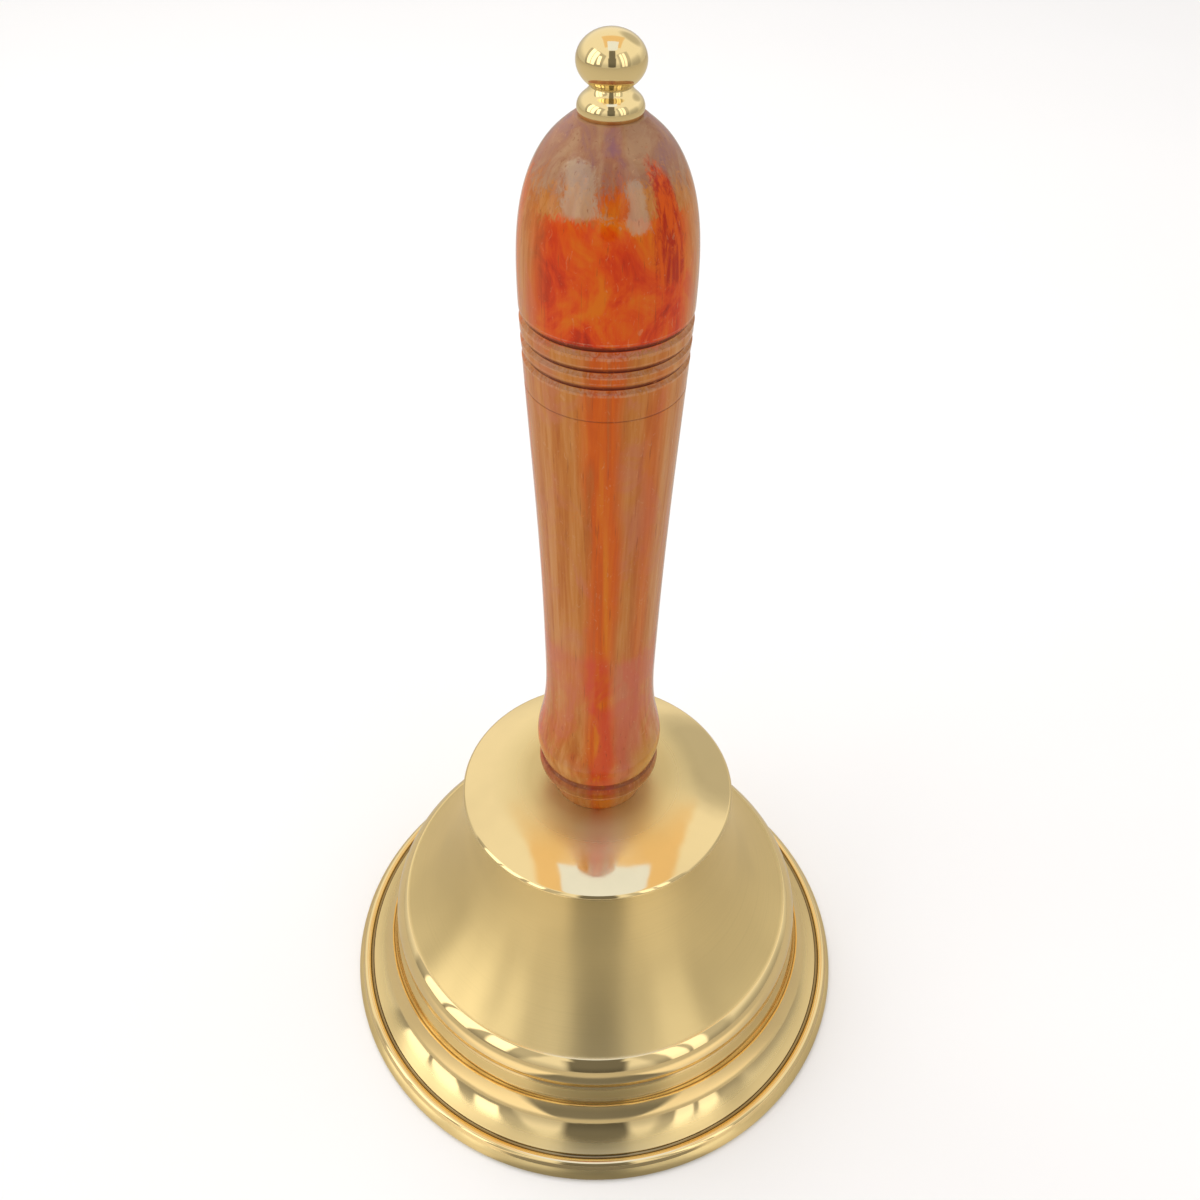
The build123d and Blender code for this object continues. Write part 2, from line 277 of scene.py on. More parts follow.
def hex_nut(name, width, hole, low, high, segments=144):
    """Hexagonal nut with corners turned off at 30 degrees and a countersunk hole."""
    sink = 0.35
    slope = math.tan(math.radians(30))
    face_edge = width / 2 - 0.15
    corner = width / math.sqrt(3)
    insets = (0.0, 0.08, 0.35, 0.7)
    rows = [low + inset for inset in insets]
    rows.append((low + high) / 2)
    rows += [high - inset for inset in reversed(insets)]
    vertices, faces, rings = [], [], []

    def add_ring(radius_at, z):
        ring = []
        for k in range(segments):
            angle = 2 * math.pi * k / segments
            r = radius_at(angle)
            ring.append(len(vertices))
            vertices.append((r * math.cos(angle), r * math.sin(angle), z))
        rings.append(ring)

    def flat_radius(angle):
        from_middle = angle % (math.pi / 3) - math.pi / 6
        return width / 2 / math.cos(from_middle)

    add_ring(lambda a: hole, low + sink)
    add_ring(lambda a: hole + sink, low)
    for z in rows:
        limit = face_edge + min(z - low, high - z) / slope
        add_ring(lambda a: min(flat_radius(a), limit, corner), z)
    add_ring(lambda a: hole + sink, high)
    add_ring(lambda a: hole, high - sink)
    count = len(rings)
    for i in range(count):
        a, b = rings[i], rings[(i + 1) % count]
        for k in range(segments):
            j = (k + 1) % segments
            faces.append((a[k], a[j], b[j], b[k]))
    piece = mesh_object(name, vertices, faces, [MIRROR] * len(vertices))
    return sharpen(piece, 25)


def sharpen(piece, degrees):
    """Marks edges that turn by more than an angle, so that flats stay flat."""
    piece.data.set_sharp_from_angle(angle=math.radians(degrees))
    return piece


# ---------------------------------------------------------------- materials


class Shader:
    """Builds one material's nodes with short calls."""

    def __init__(self, name):
        self.material = bpy.data.materials.new(name)
        self.material.use_nodes = True
        self.tree = self.material.node_tree
        self.surface = self.tree.nodes["Principled BSDF"]

    def node(self, kind, **values):
        made = self.tree.nodes.new(kind)
        for key, value in values.items():
            setattr(made, key, value)
        return made

    def feed(self, socket, value):
        if isinstance(value, bpy.types.NodeSocket):
            self.tree.links.new(value, socket)
        else:
            socket.default_value = value

    def math(self, operation, a, b=0.0):
        made = self.node("ShaderNodeMath", operation=operation)
        self.feed(made.inputs[0], a)
        self.feed(made.inputs[1], b)
        return made.outputs[0]

    def plus(self, a, b):
        return self.math("ADD", a, b)

    def times(self, a, b):
        return self.math("MULTIPLY", a, b)

    def larger(self, a, b):
        return self.math("MAXIMUM", a, b)

    def flip(self, value):
        """1 minus the value."""
        return self.math("SUBTRACT", 1.0, value)

    def centred(self, value):
        """A noise value, moved so that its middle is 0."""
        return self.math("SUBTRACT", value, 0.5)

    def distance(self, x, y):
        """Distance from the axis."""
        return self.math("SQRT", self.plus(self.times(x, x), self.times(y, y)))

    def mix(self, share, a, b):
        made = self.node("ShaderNodeMix", data_type="RGBA")
        self.feed(made.inputs["Factor"], share)
        self.feed(made.inputs["A"], a)
        self.feed(made.inputs["B"], b)
        return made.outputs["Result"]

    def blend_value(self, share, a, b):
        made = self.node("ShaderNodeMix", data_type="FLOAT")
        self.feed(made.inputs["Factor"], share)
        self.feed(made.inputs["A"], a)
        self.feed(made.inputs["B"], b)
        return made.outputs["Result"]

    def ramp(self, value, *stops):
        made = self.node("ShaderNodeValToRGB")
        elements = made.color_ramp.elements
        while len(elements) < len(stops):
            elements.new(0.5)
        for element, (place, colour) in zip(elements, stops):
            element.position = place
            element.color = colour
        self.feed(made.inputs[0], value)
        return made.outputs[0]

    def steps(self, value, low, high):
        made = self.node("ShaderNodeMapRange", interpolation_type="SMOOTHSTEP")
        self.feed(made.inputs["Value"], value)
        made.inputs["From Min"].default_value = low
        made.inputs["From Max"].default_value = high
        return made.outputs["Result"]

    def noise(self, vector, scale, detail=3.0, rough=0.5, warp=0.0):
        made = self.node("ShaderNodeTexNoise")
        self.feed(made.inputs["Vector"], vector)
        made.inputs["Scale"].default_value = scale
        made.inputs["Detail"].default_value = detail
        made.inputs["Roughness"].default_value = rough
        made.inputs["Distortion"].default_value = warp
        return made.outputs["Fac"]

    def attribute(self, name):
        return self.node("ShaderNodeAttribute", attribute_name=name).outputs["Fac"]

    def millimetres(self):
        """Place on the object in millimetres, as a vector and as x, y and z."""
        place = self.node("ShaderNodeTexCoord").outputs["Object"]
        scaled = self.node("ShaderNodeVectorMath", operation="SCALE")
        self.feed(scaled.inputs[0], place)
        scaled.inputs["Scale"].default_value = 1 / MM
        split = self.node("ShaderNodeSeparateXYZ")
        self.feed(split.inputs[0], scaled.outputs[0])
        return scaled.outputs[0], split.outputs[0], split.outputs[1], split.outputs[2]

    def vector(self, x, y, z):
        made = self.node("ShaderNodeCombineXYZ")
        for socket, value in zip(made.inputs, (x, y, z)):
            self.feed(socket, value)
        return made.outputs[0]

    def stretched(self, place, x, y, z):
        made = self.node("ShaderNodeVectorMath", operation="MULTIPLY")
        self.feed(made.inputs[0], place)
        made.inputs[1].default_value = (x, y, z)
        return made.outputs[0]

    def turned(self, x, y, z):
        """A vector of radius and height that hardly changes around the axis, for turning lines."""
        radius = self.distance(x, y)
        east = self.math("DIVIDE", x, self.plus(radius, 0.001))
        return self.vector(radius, z, self.times(east, 0.05))

    def bump(self, height, strength, distance_mm, below=None):
        made = self.node("ShaderNodeBump")
        made.inputs["Strength"].default_value = strength
        made.inputs["Distance"].default_value = distance_mm * MM
        self.feed(made.inputs["Height"], height)
        if below is not None:
            self.feed(made.inputs["Normal"], below)
        return made.outputs[0]

    def set(self, **values):
        names = {
            "colour": "Base Color",
            "rough": "Roughness",
            "metal": "Metallic",
            "normal": "Normal",
            "coat": "Coat Weight",
            "coat_rough": "Coat Roughness",
            "coat_ior": "Coat IOR",
            "coat_normal": "Coat Normal",
            "ior": "IOR",
            "grain": "Anisotropic",
            "specular": "Specular IOR Level",
        }
        for key, value in values.items():
            self.feed(self.surface.inputs[names[key]], value)
        return self.material


def darker(colour, share):
    """A share of the colour's brightness."""
    return tuple(share * c for c in colour[:3]) + (1,)


def brass_colour(s, place, broad_lines, finish, polish, bright, satin_colour):
    """Clouded where polished, lined where satin, dark brown where the finish value says so."""
    polished = s.mix(s.steps(s.noise(place, 0.05, 3, 0.55), 0.42, 0.78), bright, darker(bright, 0.93))
    deep = darker(satin_colour, 0.90)
    lined = s.mix(s.steps(s.noise(place, 0.03, 2, 0.5), 0.35, 0.65), satin_colour, deep)
    lined = s.mix(s.times(s.steps(broad_lines, 0.45, 0.75), 0.35), lined, deep)
    clean = s.mix(polish, lined, polished)
    # Dark brown where the finish value passes 1.1: the corners and the groove.
    corner_dark = s.times(s.steps(finish, 1.1, 1.9), 0.72)
    return s.mix(corner_dark, clean, (0.085, 0.055, 0.022, 1))


def brass_roughness(s, place, fine_lines, polish, mirror, satin):
    """From lined satin to a smudged mirror, with a few duller specks."""
    smudge = s.noise(place, 0.35, 4, 0.6, 0.6)
    specks = s.steps(s.noise(place, 1.7, 4, 0.7), 0.66, 0.74)
    satin_rough = s.plus(satin - 0.05, s.times(fine_lines, 0.12))
    mirror_rough = s.plus(mirror - 0.02, s.times(smudge, 0.06))
    return s.plus(s.blend_value(polish, satin_rough, mirror_rough), s.times(specks, 0.05))


def brass_normal(s, place, fine_lines, broad_lines, polish):
    """Turning lines that fade out where the brass is polished, over slow waves."""
    lines = s.plus(s.times(fine_lines, 0.6), s.times(broad_lines, 0.4))
    depth = s.plus(s.times(s.flip(polish), 0.35), 0.02)
    turned = s.bump(s.times(lines, depth), 0.5, 0.05)
    return s.bump(s.noise(place, 0.10, 2, 0.5), 0.10, 0.6, turned)


def turned_brass(name, bright, satin_colour, mirror=0.045, satin=0.36):
    """Brass whose finish value goes from satin turning lines at 0 to a mirror at 1, then dark brown."""
    s = Shader(name)
    place, x, y, z = s.millimetres()
    around = s.turned(x, y, z)
    finish = s.attribute("finish")
    polish = s.math("MINIMUM", finish, MIRROR)
    fine_lines = s.noise(around, 14.0, 2, 0.6)
    broad_lines = s.noise(around, 2.6, 2, 0.5)
    tangent = s.node("ShaderNodeTangent", direction_type="RADIAL", axis="Z").outputs[0]
    s.feed(s.surface.inputs["Tangent"], tangent)
    s.surface.inputs["Anisotropic Rotation"].default_value = 0.25
    return s.set(
        colour=brass_colour(s, place, broad_lines, finish, polish, bright, satin_colour),
        rough=brass_roughness(s, place, fine_lines, polish, mirror, satin),
        metal=1.0,
        normal=brass_normal(s, place, fine_lines, broad_lines, polish),
        grain=0.85,
    )


class WoodShader(Shader):
    """The same short calls, with the handle's grain and its places by height and heading."""

    def __init__(self, name):
        super().__init__(name)
        self.place, x, y, self.z = self.millimetres()
        reach = self.distance(x, y)
        self.east = self.math("DIVIDE", x, reach)
        self.north = self.math("DIVIDE", y, reach)
        self.sway = self.times(self.centred(self.grain((0.03, 0.03, 0.02), 3, 0.6)), 0.5)
        self.fibre = self.grain((0.9, 0.9, 0.030), 5, 0.65, 0.5)
        self.streaks = self.grain((0.26, 0.26, 0.010), 4, 0.6, 0.4)
        self.mottle = self.grain((0.13, 0.13, 0.09), 5, 0.62, 1.0)
        self.blotch = self.grain((0.10, 0.10, 0.05), 4, 0.65, 0.8)
        self.flecks = self.grain((0.8, 0.8, 0.35), 4, 0.7, 2.0)
        coarse = self.times(self.centred(self.mottle), 1.5)
        self.ragged = self.plus(coarse, self.times(self.centred(self.flecks), 1.3))

    def grain(self, stretch, detail, rough, warp=0.0):
        """Noise with its own fineness per millimetre across X, across Y and along Z."""
        return self.noise(self.stretched(self.place, *stretch), 1.0, detail, rough, warp)

    def stripe(self, heading, half_width, soft):
        """1 along a vertical stripe of the handle that faces a heading in degrees."""
        sx, sy = math.cos(math.radians(heading)), math.sin(math.radians(heading))
        across = self.math("SUBTRACT", self.times(self.east, -sy), self.times(self.north, -sx))
        facing = self.plus(self.times(self.east, sx), self.times(self.north, sy))
        off = self.math("ABSOLUTE", self.plus(across, self.sway))
        inside = self.flip(self.steps(off, half_width - soft, half_width + soft))
        return self.times(inside, self.steps(facing, 0.0, 0.3))

    def band(self, low, high, soft):
        """1 between two heights on the handle, with soft ends."""
        rise = self.steps(self.z, low - soft, low + soft)
        fall = self.steps(self.z, high - soft, high + soft)
        return self.times(rise, self.flip(fall))

    def torn(self, share, low, high):
        """The share with ragged edges."""
        return self.steps(self.plus(share, self.ragged), low, high)


def shaft_stain(w):
    """Tan wood, partly a painted sheen, in fine lengthwise streaks, rosy in blotches."""
    # Partly a painted sheen of the bright room on the varnish.
    tan = w.ramp(
        w.plus(w.times(w.fibre, 0.4), w.times(w.streaks, 0.6)),
        (0.36, (0.430, 0.115, 0.014, 1)),
        (0.47, (0.510, 0.175, 0.030, 1)),
        (0.56, (0.560, 0.228, 0.060, 1)),
        (0.66, (0.590, 0.285, 0.105, 1)),
    )
    rosy = w.steps(w.blotch, 0.50, 0.66)
    return w.mix(w.times(rosy, 0.55), tan, (0.52, 0.165, 0.085, 1))


def amber_share(w):
    """Where the amber streaks run: one in front, three more around, a short one beside it."""
    streak = w.stripe(-89.0, 0.24, 0.12)
    for heading in (8.0, 101.0, 190.0):
        streak = w.larger(streak, w.times(w.stripe(heading, 0.15, 0.12), 0.8))
    streak = w.times(streak, w.steps(w.streaks, 0.30, 0.48))
    beside = w.times(w.stripe(-50.0, 0.14, 0.12), 0.55)
    return w.larger(streak, w.times(beside, w.band(116.0, 186.0, 12.0)))


def amber_stain(w):
    """Clear orange of the streaks."""
    return w.ramp(
        w.streaks,
        (0.36, (0.460, 0.045, 0.0005, 1)),
        (0.50, (0.600, 0.094, 0.0005, 1)),
        (0.64, (0.640, 0.165, 0.002, 1)),
    )


def stain_swell(w, colour):
    """Mottled orange and red on the front and back of the swell."""
    vivid = w.ramp(
        w.plus(w.times(w.mottle, 0.86), w.times(w.fibre, 0.14)),
        (0.34, (0.400, 0.014, 0.0005, 1)),
        (0.43, (0.610, 0.036, 0.0005, 1)),
        (0.51, (0.680, 0.072, 0.0005, 1)),
        (0.62, (0.680, 0.145, 0.001, 1)),
    )
    faces = w.larger(w.stripe(-84.0, 0.80, 0.14), w.stripe(92.0, 0.62, 0.25))
    swell = w.times(w.torn(w.band(190.0, 210.5, 3.0), 0.30, 0.62), faces)
    return w.mix(w.times(swell, 0.95), colour, vivid)


def stain_foot(w, colour, streak):
    """Pink blush, crimson streaks and a honey patch low on the handle."""
    blush = w.times(w.stripe(-58.0, 0.26, 0.08), w.band(84.0, 119.0, 1.5))
    colour = w.mix(w.times(blush, 0.6), colour, (0.52, 0.140, 0.080, 1))
    crimson = w.times(w.band(80.0, 121.0, 3.0), w.steps(w.blotch, 0.42, 0.55))
    crimson = w.times(crimson, w.larger(streak, 0.35))
    colour = w.mix(w.times(crimson, 0.75), colour, (0.58, 0.052, 0.020, 1))
    honey = w.times(w.stripe(-38.0, 0.30, 0.15), w.band(82.0, 92.0, 3.0))
    return w.mix(w.times(honey, 0.7), colour, (0.52, 0.235, 0.030, 1))


def stain_dome(w, colour):
    """Violet-brown top that is partly a painted sheen, a red lick of staining on its right, painted
    window reflections on its left.
    """
    # Partly a painted sheen: the top turns violet-brown.
    top_and_sheen = w.steps(w.plus(w.z, w.times(w.ragged, 9.0)), 212.0, 216.5)
    top_wood_and_sheen = w.ramp(
        w.mottle,
        (0.38, (0.235, 0.110, 0.120, 1)),
        (0.50, (0.330, 0.155, 0.090, 1)),
        (0.62, (0.400, 0.235, 0.130, 1)),
    )
    colour = w.mix(w.times(top_and_sheen, 0.85), colour, top_wood_and_sheen)
    lick = w.torn(w.times(w.stripe(-50.0, 0.17, 0.14), w.band(200.0, 217.5, 2.5)), 0.30, 0.85)
    red = w.mix(w.steps(w.fibre, 0.40, 0.62), (0.42, 0.020, 0.001, 1), (0.68, 0.090, 0.001, 1))
    colour = w.mix(w.times(lick, w.stripe(-50.0, 0.30, 0.10)), colour, red)
    # Painted window reflections: two pale patches on the left.
    left = w.times(w.stripe(-114.0, 0.20, 0.13), w.band(211.0, 218.0, 1.2))
    middle = w.times(w.stripe(-72.0, 0.13, 0.08), w.band(209.5, 216.0, 1.2))
    pale = w.times(w.torn(w.larger(left, middle), 0.25, 0.75), w.band(208.5, 219.0, 1.0))
    return w.mix(w.times(pale, 0.50), colour, (0.48, 0.36, 0.24, 1))


def wear_wood(w, colour):
    """Dark pores, light flecks, painted shade in the grooves and painted highlights on the ridges beside
    them.
    """
    recess = w.attribute("finish")
    pores = w.steps(w.grain((2.4, 2.4, 0.07), 3, 0.55), 0.62, 0.72)
    colour = w.mix(w.times(pores, 0.40), colour, (0.20, 0.040, 0.010, 1))
    colour = w.mix(w.times(w.steps(w.flecks, 0.61, 0.68), 0.28), colour, (0.62, 0.34, 0.16, 1))
    # Painted shade in the grooves, the step and the foot.
    painted_groove_shade = w.times(w.steps(recess, 0.55, 0.95), w.steps(w.flecks, 0.74, 0.58))
    colour = w.mix(painted_groove_shade, colour, (0.100, 0.016, 0.010, 1))
    # Painted highlights on the grooves' lower walls and the ridges beside them.
    painted_ridge_highlight = w.times(w.flip(w.steps(recess, 0.0, 0.3)), w.steps(w.flecks, 0.36, 0.60))
    return w.mix(w.times(painted_ridge_highlight, 0.45), colour, (0.58, 0.34, 0.20, 1))


def varnished_wood(name):
    """Turned hardwood in thick amber varnish: streaked shaft, mottled swell, grooves dark with painted
    shade.
    """
    w = WoodShader(name)
    streak = amber_share(w)
    colour = w.mix(w.times(streak, 0.92), shaft_stain(w), amber_stain(w))
    colour = stain_swell(w, colour)
    colour = stain_foot(w, colour, streak)
    colour = stain_dome(w, colour)
    colour = wear_wood(w, colour)
    orange_peel = w.bump(w.noise(w.place, 0.55, 3, 0.5), 0.22, 0.10)
    varnish = w.bump(w.grain((0.16, 0.16, 0.06), 2, 0.5), 0.45, 0.5, orange_peel)
    return w.set(
        colour=colour,
        rough=w.plus(0.40, w.times(w.fibre, 0.2)),
        normal=w.bump(w.fibre, 0.25, 0.10),
        coat=1.0,
        coat_rough=0.10,
        coat_ior=1.37,
        coat_normal=varnish,
        specular=0.0,
    )


def worked_steel(name, colour, rough, lines):
    """Drawn or plated steel with fine lines and stains."""
    s = Shader(name)
    place = s.millimetres()[0]
    fine = s.noise(s.stretched(place, 1.0, 1.0, 9.0), 1.3, 3, 0.6)
    stain_and_shading = s.noise(place, 0.3, 4, 0.6, 0.8)
    base = s.mix(s.times(s.steps(stain_and_shading, 0.45, 0.75), 0.7), colour, darker(colour, 0.62))
    roughness = s.plus(rough, s.times(fine, 0.16))
    normal = s.bump(fine, lines, 0.05)
    return s.set(colour=base, rough=roughness, metal=1.0, normal=normal)


def nylon(name):
    """Natural nylon: off-white, slightly waxy."""
    s = Shader(name)
    place = s.millimetres()[0]
    cloud = s.noise(place, 0.9, 3, 0.5)
    colour = s.mix(cloud, (0.74, 0.70, 0.60, 1), (0.82, 0.79, 0.71, 1))
    return s.set(colour=colour, rough=0.42, normal=s.bump(cloud, 0.2, 0.08))


bell_brass = turned_brass("bell_brass", (0.93, 0.72, 0.36, 1), (0.86, 0.665, 0.31, 1))
polished_brass = turned_brass("polished_brass", (0.94, 0.74, 0.37, 1), (0.62, 0.46, 0.18, 1))
striker_brass = turned_brass("striker_brass", (0.74, 0.55, 0.24, 1), (0.55, 0.40, 0.17, 1), 0.16, 0.34)
wood = varnished_wood("varnished_wood")
steel = worked_steel("drawn_steel", (0.58, 0.57, 0.56, 1), 0.24, 0.25)
zinc = worked_steel("zinc_plate", (0.72, 0.72, 0.69, 1), 0.20, 0.15)
spacer_nylon = nylon("natural_nylon")


def finished(piece, material, slot, body, *nodes):
    """Gives a piece its material, and puts it in the place of its CAD nodes; the slot is not used."""
    piece.data.materials.clear()
    piece.data.materials.append(material)
    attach(piece, body)
    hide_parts(*nodes)
    return piece


# ---------------------------------------------------------------- bell shell


def crown_outline(seat, waist_top):
    """Crown disc: flat and satin at the handle's seat, then domed and more and more polished."""
    edge = (31.0, 68.2)
    satin_reach, fade = 5, 9
    outline = marked([(ROD_HOLE, CROWN_TOP), (seat, CROWN_TOP)], SATIN)
    for r, z in dome((seat, CROWN_TOP), edge, 60)[1:]:
        outline.append((r, z, min(MIRROR, max(SATIN, (r - seat - satin_reach) / fade))))
    return outline + marked([waist_top], MIRROR)


def moulding_outline():
    """Polished shoulder, the plain band under it with two fine lines, and the dark brown corners."""
    band_radius, band_top, band_taper = 50.9, 21.2, 0.2
    line_heights = (19.6, 17.0)
    outline = marked(arc((48.2, 28.7), (50.5, 26.1), (51.2, 21.6), 30), MIRROR)
    outline += marked([(band_radius, band_top)], DARK_CORNER)
    for height in line_heights:
        wall = band_radius + (band_top - height) * band_taper
        outline += marked([(wall - 0.04, height + 0.2)], SATIN)
        outline += marked([(wall - 0.07, height)], 0.3)
        outline += marked([(wall + 0.04, height - 0.2)], SATIN)
    return outline + marked([(51.95, 15.75)], DARK_CORNER)


def cove_outline():
    """Polished cove that fades to satin at its foot, a dark brown groove, a bead and the lip."""
    cove = arc((52.0, 15.2), (54.6, 8.3), (59.3, 4.5), 48)
    fade_start, fade_end = 30, 40
    outline = marked(cove[:fade_start], MIRROR)
    outline += faded(cove[fade_start:fade_end], MIRROR, 0.25)
    outline += marked(cove[fade_end:], 0.2)
    outline += marked(arc((59.3, 4.5), (59.8, 4.0), (60.2, 4.4), 9)[1:], DARK_CORNER)
    outline += marked(arc((60.2, 4.4), (61.1, 4.7), (62.1, 3.8), 16)[1:], MIRROR)
    outline += marked([(62.3, 3.3)], MIRROR)
    return outline + marked(arc((62.35, 3.2), (63.2, 2.1), (MOUTH_RADIUS, 0.8), 10), 0.15)


def inside_outline(seat):
    """Mouth rim and inner wall, rough from the tool, up to the hole in the crown."""
    rim, shoulder, wall_start, wall_end = (60.0, 0.0), (48.6, 15.6), (44.2, 27.0), (28.0, 65.0)
    outline = [(MOUTH_RADIUS - 0.4, 0.0), rim, *arc(rim, (52.0, 7.2), shoulder, 36)[1:]]
    outline += [wall_start, *arc(wall_start, (33.2, 43.0), wall_end, 60)[1:]]
    outline += [(seat, CROWN_INSIDE), (ROD_HOLE, CROWN_INSIDE)]
    return marked(outline, RAW)


def build_shell():
    """Brass bell, with polished crown, shoulder, cove and lip, and a satin waist."""
    seat = 11.0
    waist_top, waist_foot = (31.5, 67.7), (47.6, 28.9)
    outline = crown_outline(seat, waist_top)
    outline += marked(arc(waist_top, (36.0, 44.6), waist_foot, 72)[1:], SATIN)
    outline += marked([(47.9, 28.75)], SATIN)
    outline += moulding_outline() + cove_outline() + inside_outline(seat)
    outline = softened(outline, 0.22, closed=True)
    piece = lathe("turned_bell", outline[::-1], closed=True, segments=320)
    return finished(piece, bell_brass, "bell_brass", "bell", "bell_shell")


# ---------------------------------------------------------------- handle


def groove(radius, height, width, depth, steps=15):
    """Groove in the handle's side, with painted shade along its upper wall and a painted highlight along
    its lower.
    """
    out = []
    for s in np.linspace(-1, 1, steps):
        lean = s + 0.35 * (1 - s * s)
        dip = math.cos(lean * math.pi / 2) ** 0.9
        # Painted shade on the upper wall; the lower wall's 0 gives a painted highlight.
        stain_and_shading = 0.0 if s < -0.15 else 0.75 + 0.25 * dip
        out.append((radius - depth * dip, height + s * width / 2, stain_and_shading))
    return out


def scored_line(radius, height, width, depth):
    """Shallow line scored in the handle's side, with painted shade along its bottom."""
    out = []
    for share, dip in ((-0.5, 0.0), (-0.2, 1.0), (0.2, 1.0), (0.5, 0.0)):
        # Painted shade, darkest at the bottom of the line.
        out.append((radius - depth * dip, height + share * width, 0.50 + 0.25 * dip))
    return out


def swell_side(swell, plain):
    """The shaft and swell with three ring grooves and one scored line, from the bottom up."""
    rings = [(183.6, 1.7, 0.55), (186.8, 1.7, 0.58), (190.6, 1.9, 0.62)]
    line = (177.6, 0.4, 0.06)
    # Beside the rings a low value paints a highlight on the wood.
    margin, ridge_reach, ridge_highlight_value = 0.05, 0.45, 0.05
    radii, heights = zip(*swell)

    def radius_at(height):
        return float(np.interp(height, heights, radii))

    side = []
    for r, z in swell:
        if any(abs(z - height) < width / 2 + margin for height, width, _ in [line] + rings):
            continue
        near_ring = min(abs(z - height) - width / 2 for height, width, _ in rings)
        side.append((r, z, ridge_highlight_value if near_ring < ridge_reach else plain))
    for height, width, depth in rings:
        side += groove(radius_at(height), height, width, depth)
    side += scored_line(radius_at(line[0]), *line)
    return sorted(side, key=lambda point: point[1])


def foot_outline(bore, base):
    """Foot ring, dark step, bead and groove at the bottom of the handle, with painted shade on the foot,
    the step, the bead's top and the groove, and painted highlights on the bead's lower half and above the
    groove.
    """
    bead = arc((12.7, 77.6), (13.35, 79.6), (12.95, 81.3), 18)
    pale_part = 6
    # Values above 0.55 paint shade, values near 0 paint highlights.
    outline = marked([(bore, base), (10.2, base)], 0.8)
    outline += marked(arc((10.3, base + 0.1), (10.75, base + 2.3), (10.85, base + 4.6), 14), 0.62)
    outline += marked([(10.75, 76.5)], 0.90)
    outline += marked([(12.5, 77.4)], 0.20)
    outline += marked(bead[:pale_part], 0.10) + marked(bead[pale_part:], 0.72)
    outline += marked(arc((12.9, 81.4), (12.35, 82.2), (12.9, 82.9), 9), 0.76)
    return outline + marked([(12.98, 83.3), (13.1, 84.0)], 0.10)


def build_handle():
    """Wooden handle: foot ring, bead, groove, swell with three ring grooves, and dome."""
    base, top = handle_low.z, handle_high.z
    bore, plain = 2.8, 0.4
    swell = flowing(
        [
            (12.95, 83.0),
            (13.6, 86.5),
            (12.4, 95.0),
            (11.45, 112.0),
            (12.0, 136.0),
            (13.3, 166.0),
            (14.4, 190.0),
            (14.4, 202.0),
            (12.8, 211.5),
            (8.8, 218.7),
            (5.4, top),
        ],
        420,
    )
    outline = foot_outline(bore, base) + swell_side(swell, plain) + marked([(bore, top)], plain)
    outline = softened(outline, 0.16, closed=True, least_turn=math.radians(14))
    phases = np.random.default_rng(7).uniform(0, 2 * math.pi, 6)

    def wobble(angle, r, z):
        """Slight unevenness of hand turning, none in the bore."""
        if r < 6:
            return 0
        slow = math.sin(angle + phases[0] + z * 0.03) * 0.035
        ripple = math.sin(3 * angle + phases[1] + z * 0.11) * 0.015
        facets = math.sin(5 * angle + phases[2] - z * 0.07) * 0.010
        return slow + ripple + facets

    piece = lathe("turned_handle", outline, closed=True, segments=224, wobble=wobble)
    return finished(piece, wood, "varnished_wood", "bell", "handle")


# ---------------------------------------------------------------- finial


def build_collar():
    """Flared brass collar with a rounded base."""
    low, high = collar_low.z, collar_high.z
    bore = 2.5
    foot = [(4.8, low), (5.0, low + 0.9), (4.55, low + 2.3)]
    neck = [(3.45, high - 0.55), (3.1, high)]
    outline = marked([(bore, low), *flowing(foot + neck, 60), (bore, high)], MIRROR)
    piece = lathe("flared_collar", softened(outline, 0.15, closed=True), closed=True, segments=160)
    return finished(piece, polished_brass, "polished_brass", "bell", "finial_collar")


def build_ball():
    """Flattened brass ball nut on a short neck."""
    low, high = ball_low.z, ball_high.z
    half_height = 4.15
    centre = high - half_height
    half_width = ball_high.x
    neck = 3.2
    drop = math.degrees(math.acos(neck / half_width))
    outline = marked([(0.0, low), (neck - 0.05, low), (neck - 0.1, low + 0.12)], 0.4)
    outline += marked(ellipse(centre, half_width, half_height, -drop, 90, 96), MIRROR)
    piece = lathe("ball_nut", softened(outline, 0.1), segments=192)
    return finished(piece, polished_brass, "polished_brass", "bell", "finial_ball")


# ---------------------------------------------------------------- inside the bell


def build_rod():
    """Steel tie rod: a plain shank, and a thread where it shows under the crown."""
    shoulder = crown_nut_low.z
    radius, chamfer = 2.5, 0.3
    side = [(radius - chamfer / 2, shoulder), (radius, shoulder + chamfer), (radius, rod_high.z)]
    outline = marked([(0, shoulder), *side, (0, rod_high.z)], MIRROR)
    thread = threaded("tie_rod_thread", ROD_END_RADIUS, 0.7, rod_low.z, shoulder)
    shank = lathe("tie_rod_shank", softened(outline, 0.1), segments=64)
    for piece in (shank, thread):
        finished(piece, steel, "steel", "bell", "tie_rod")


def build_washers():
    """The wide washer under the crown and the small one that carries the yoke."""
    washers = (
        ("wide_washer", washer_low, washer_high, ROD_HOLE, 0.2, "crown_washer"),
        ("small_washer", thrust_low, thrust_high, 2.02, 0.15, "thrust_washer"),
    )
    for name, low, high, hole, edge, node in washers:
        piece = lathe(name, ring_outline(high.x, hole, low.z, high.z, edge), closed=True)
        finished(piece, zinc, "zinc_steel", "bell", node)


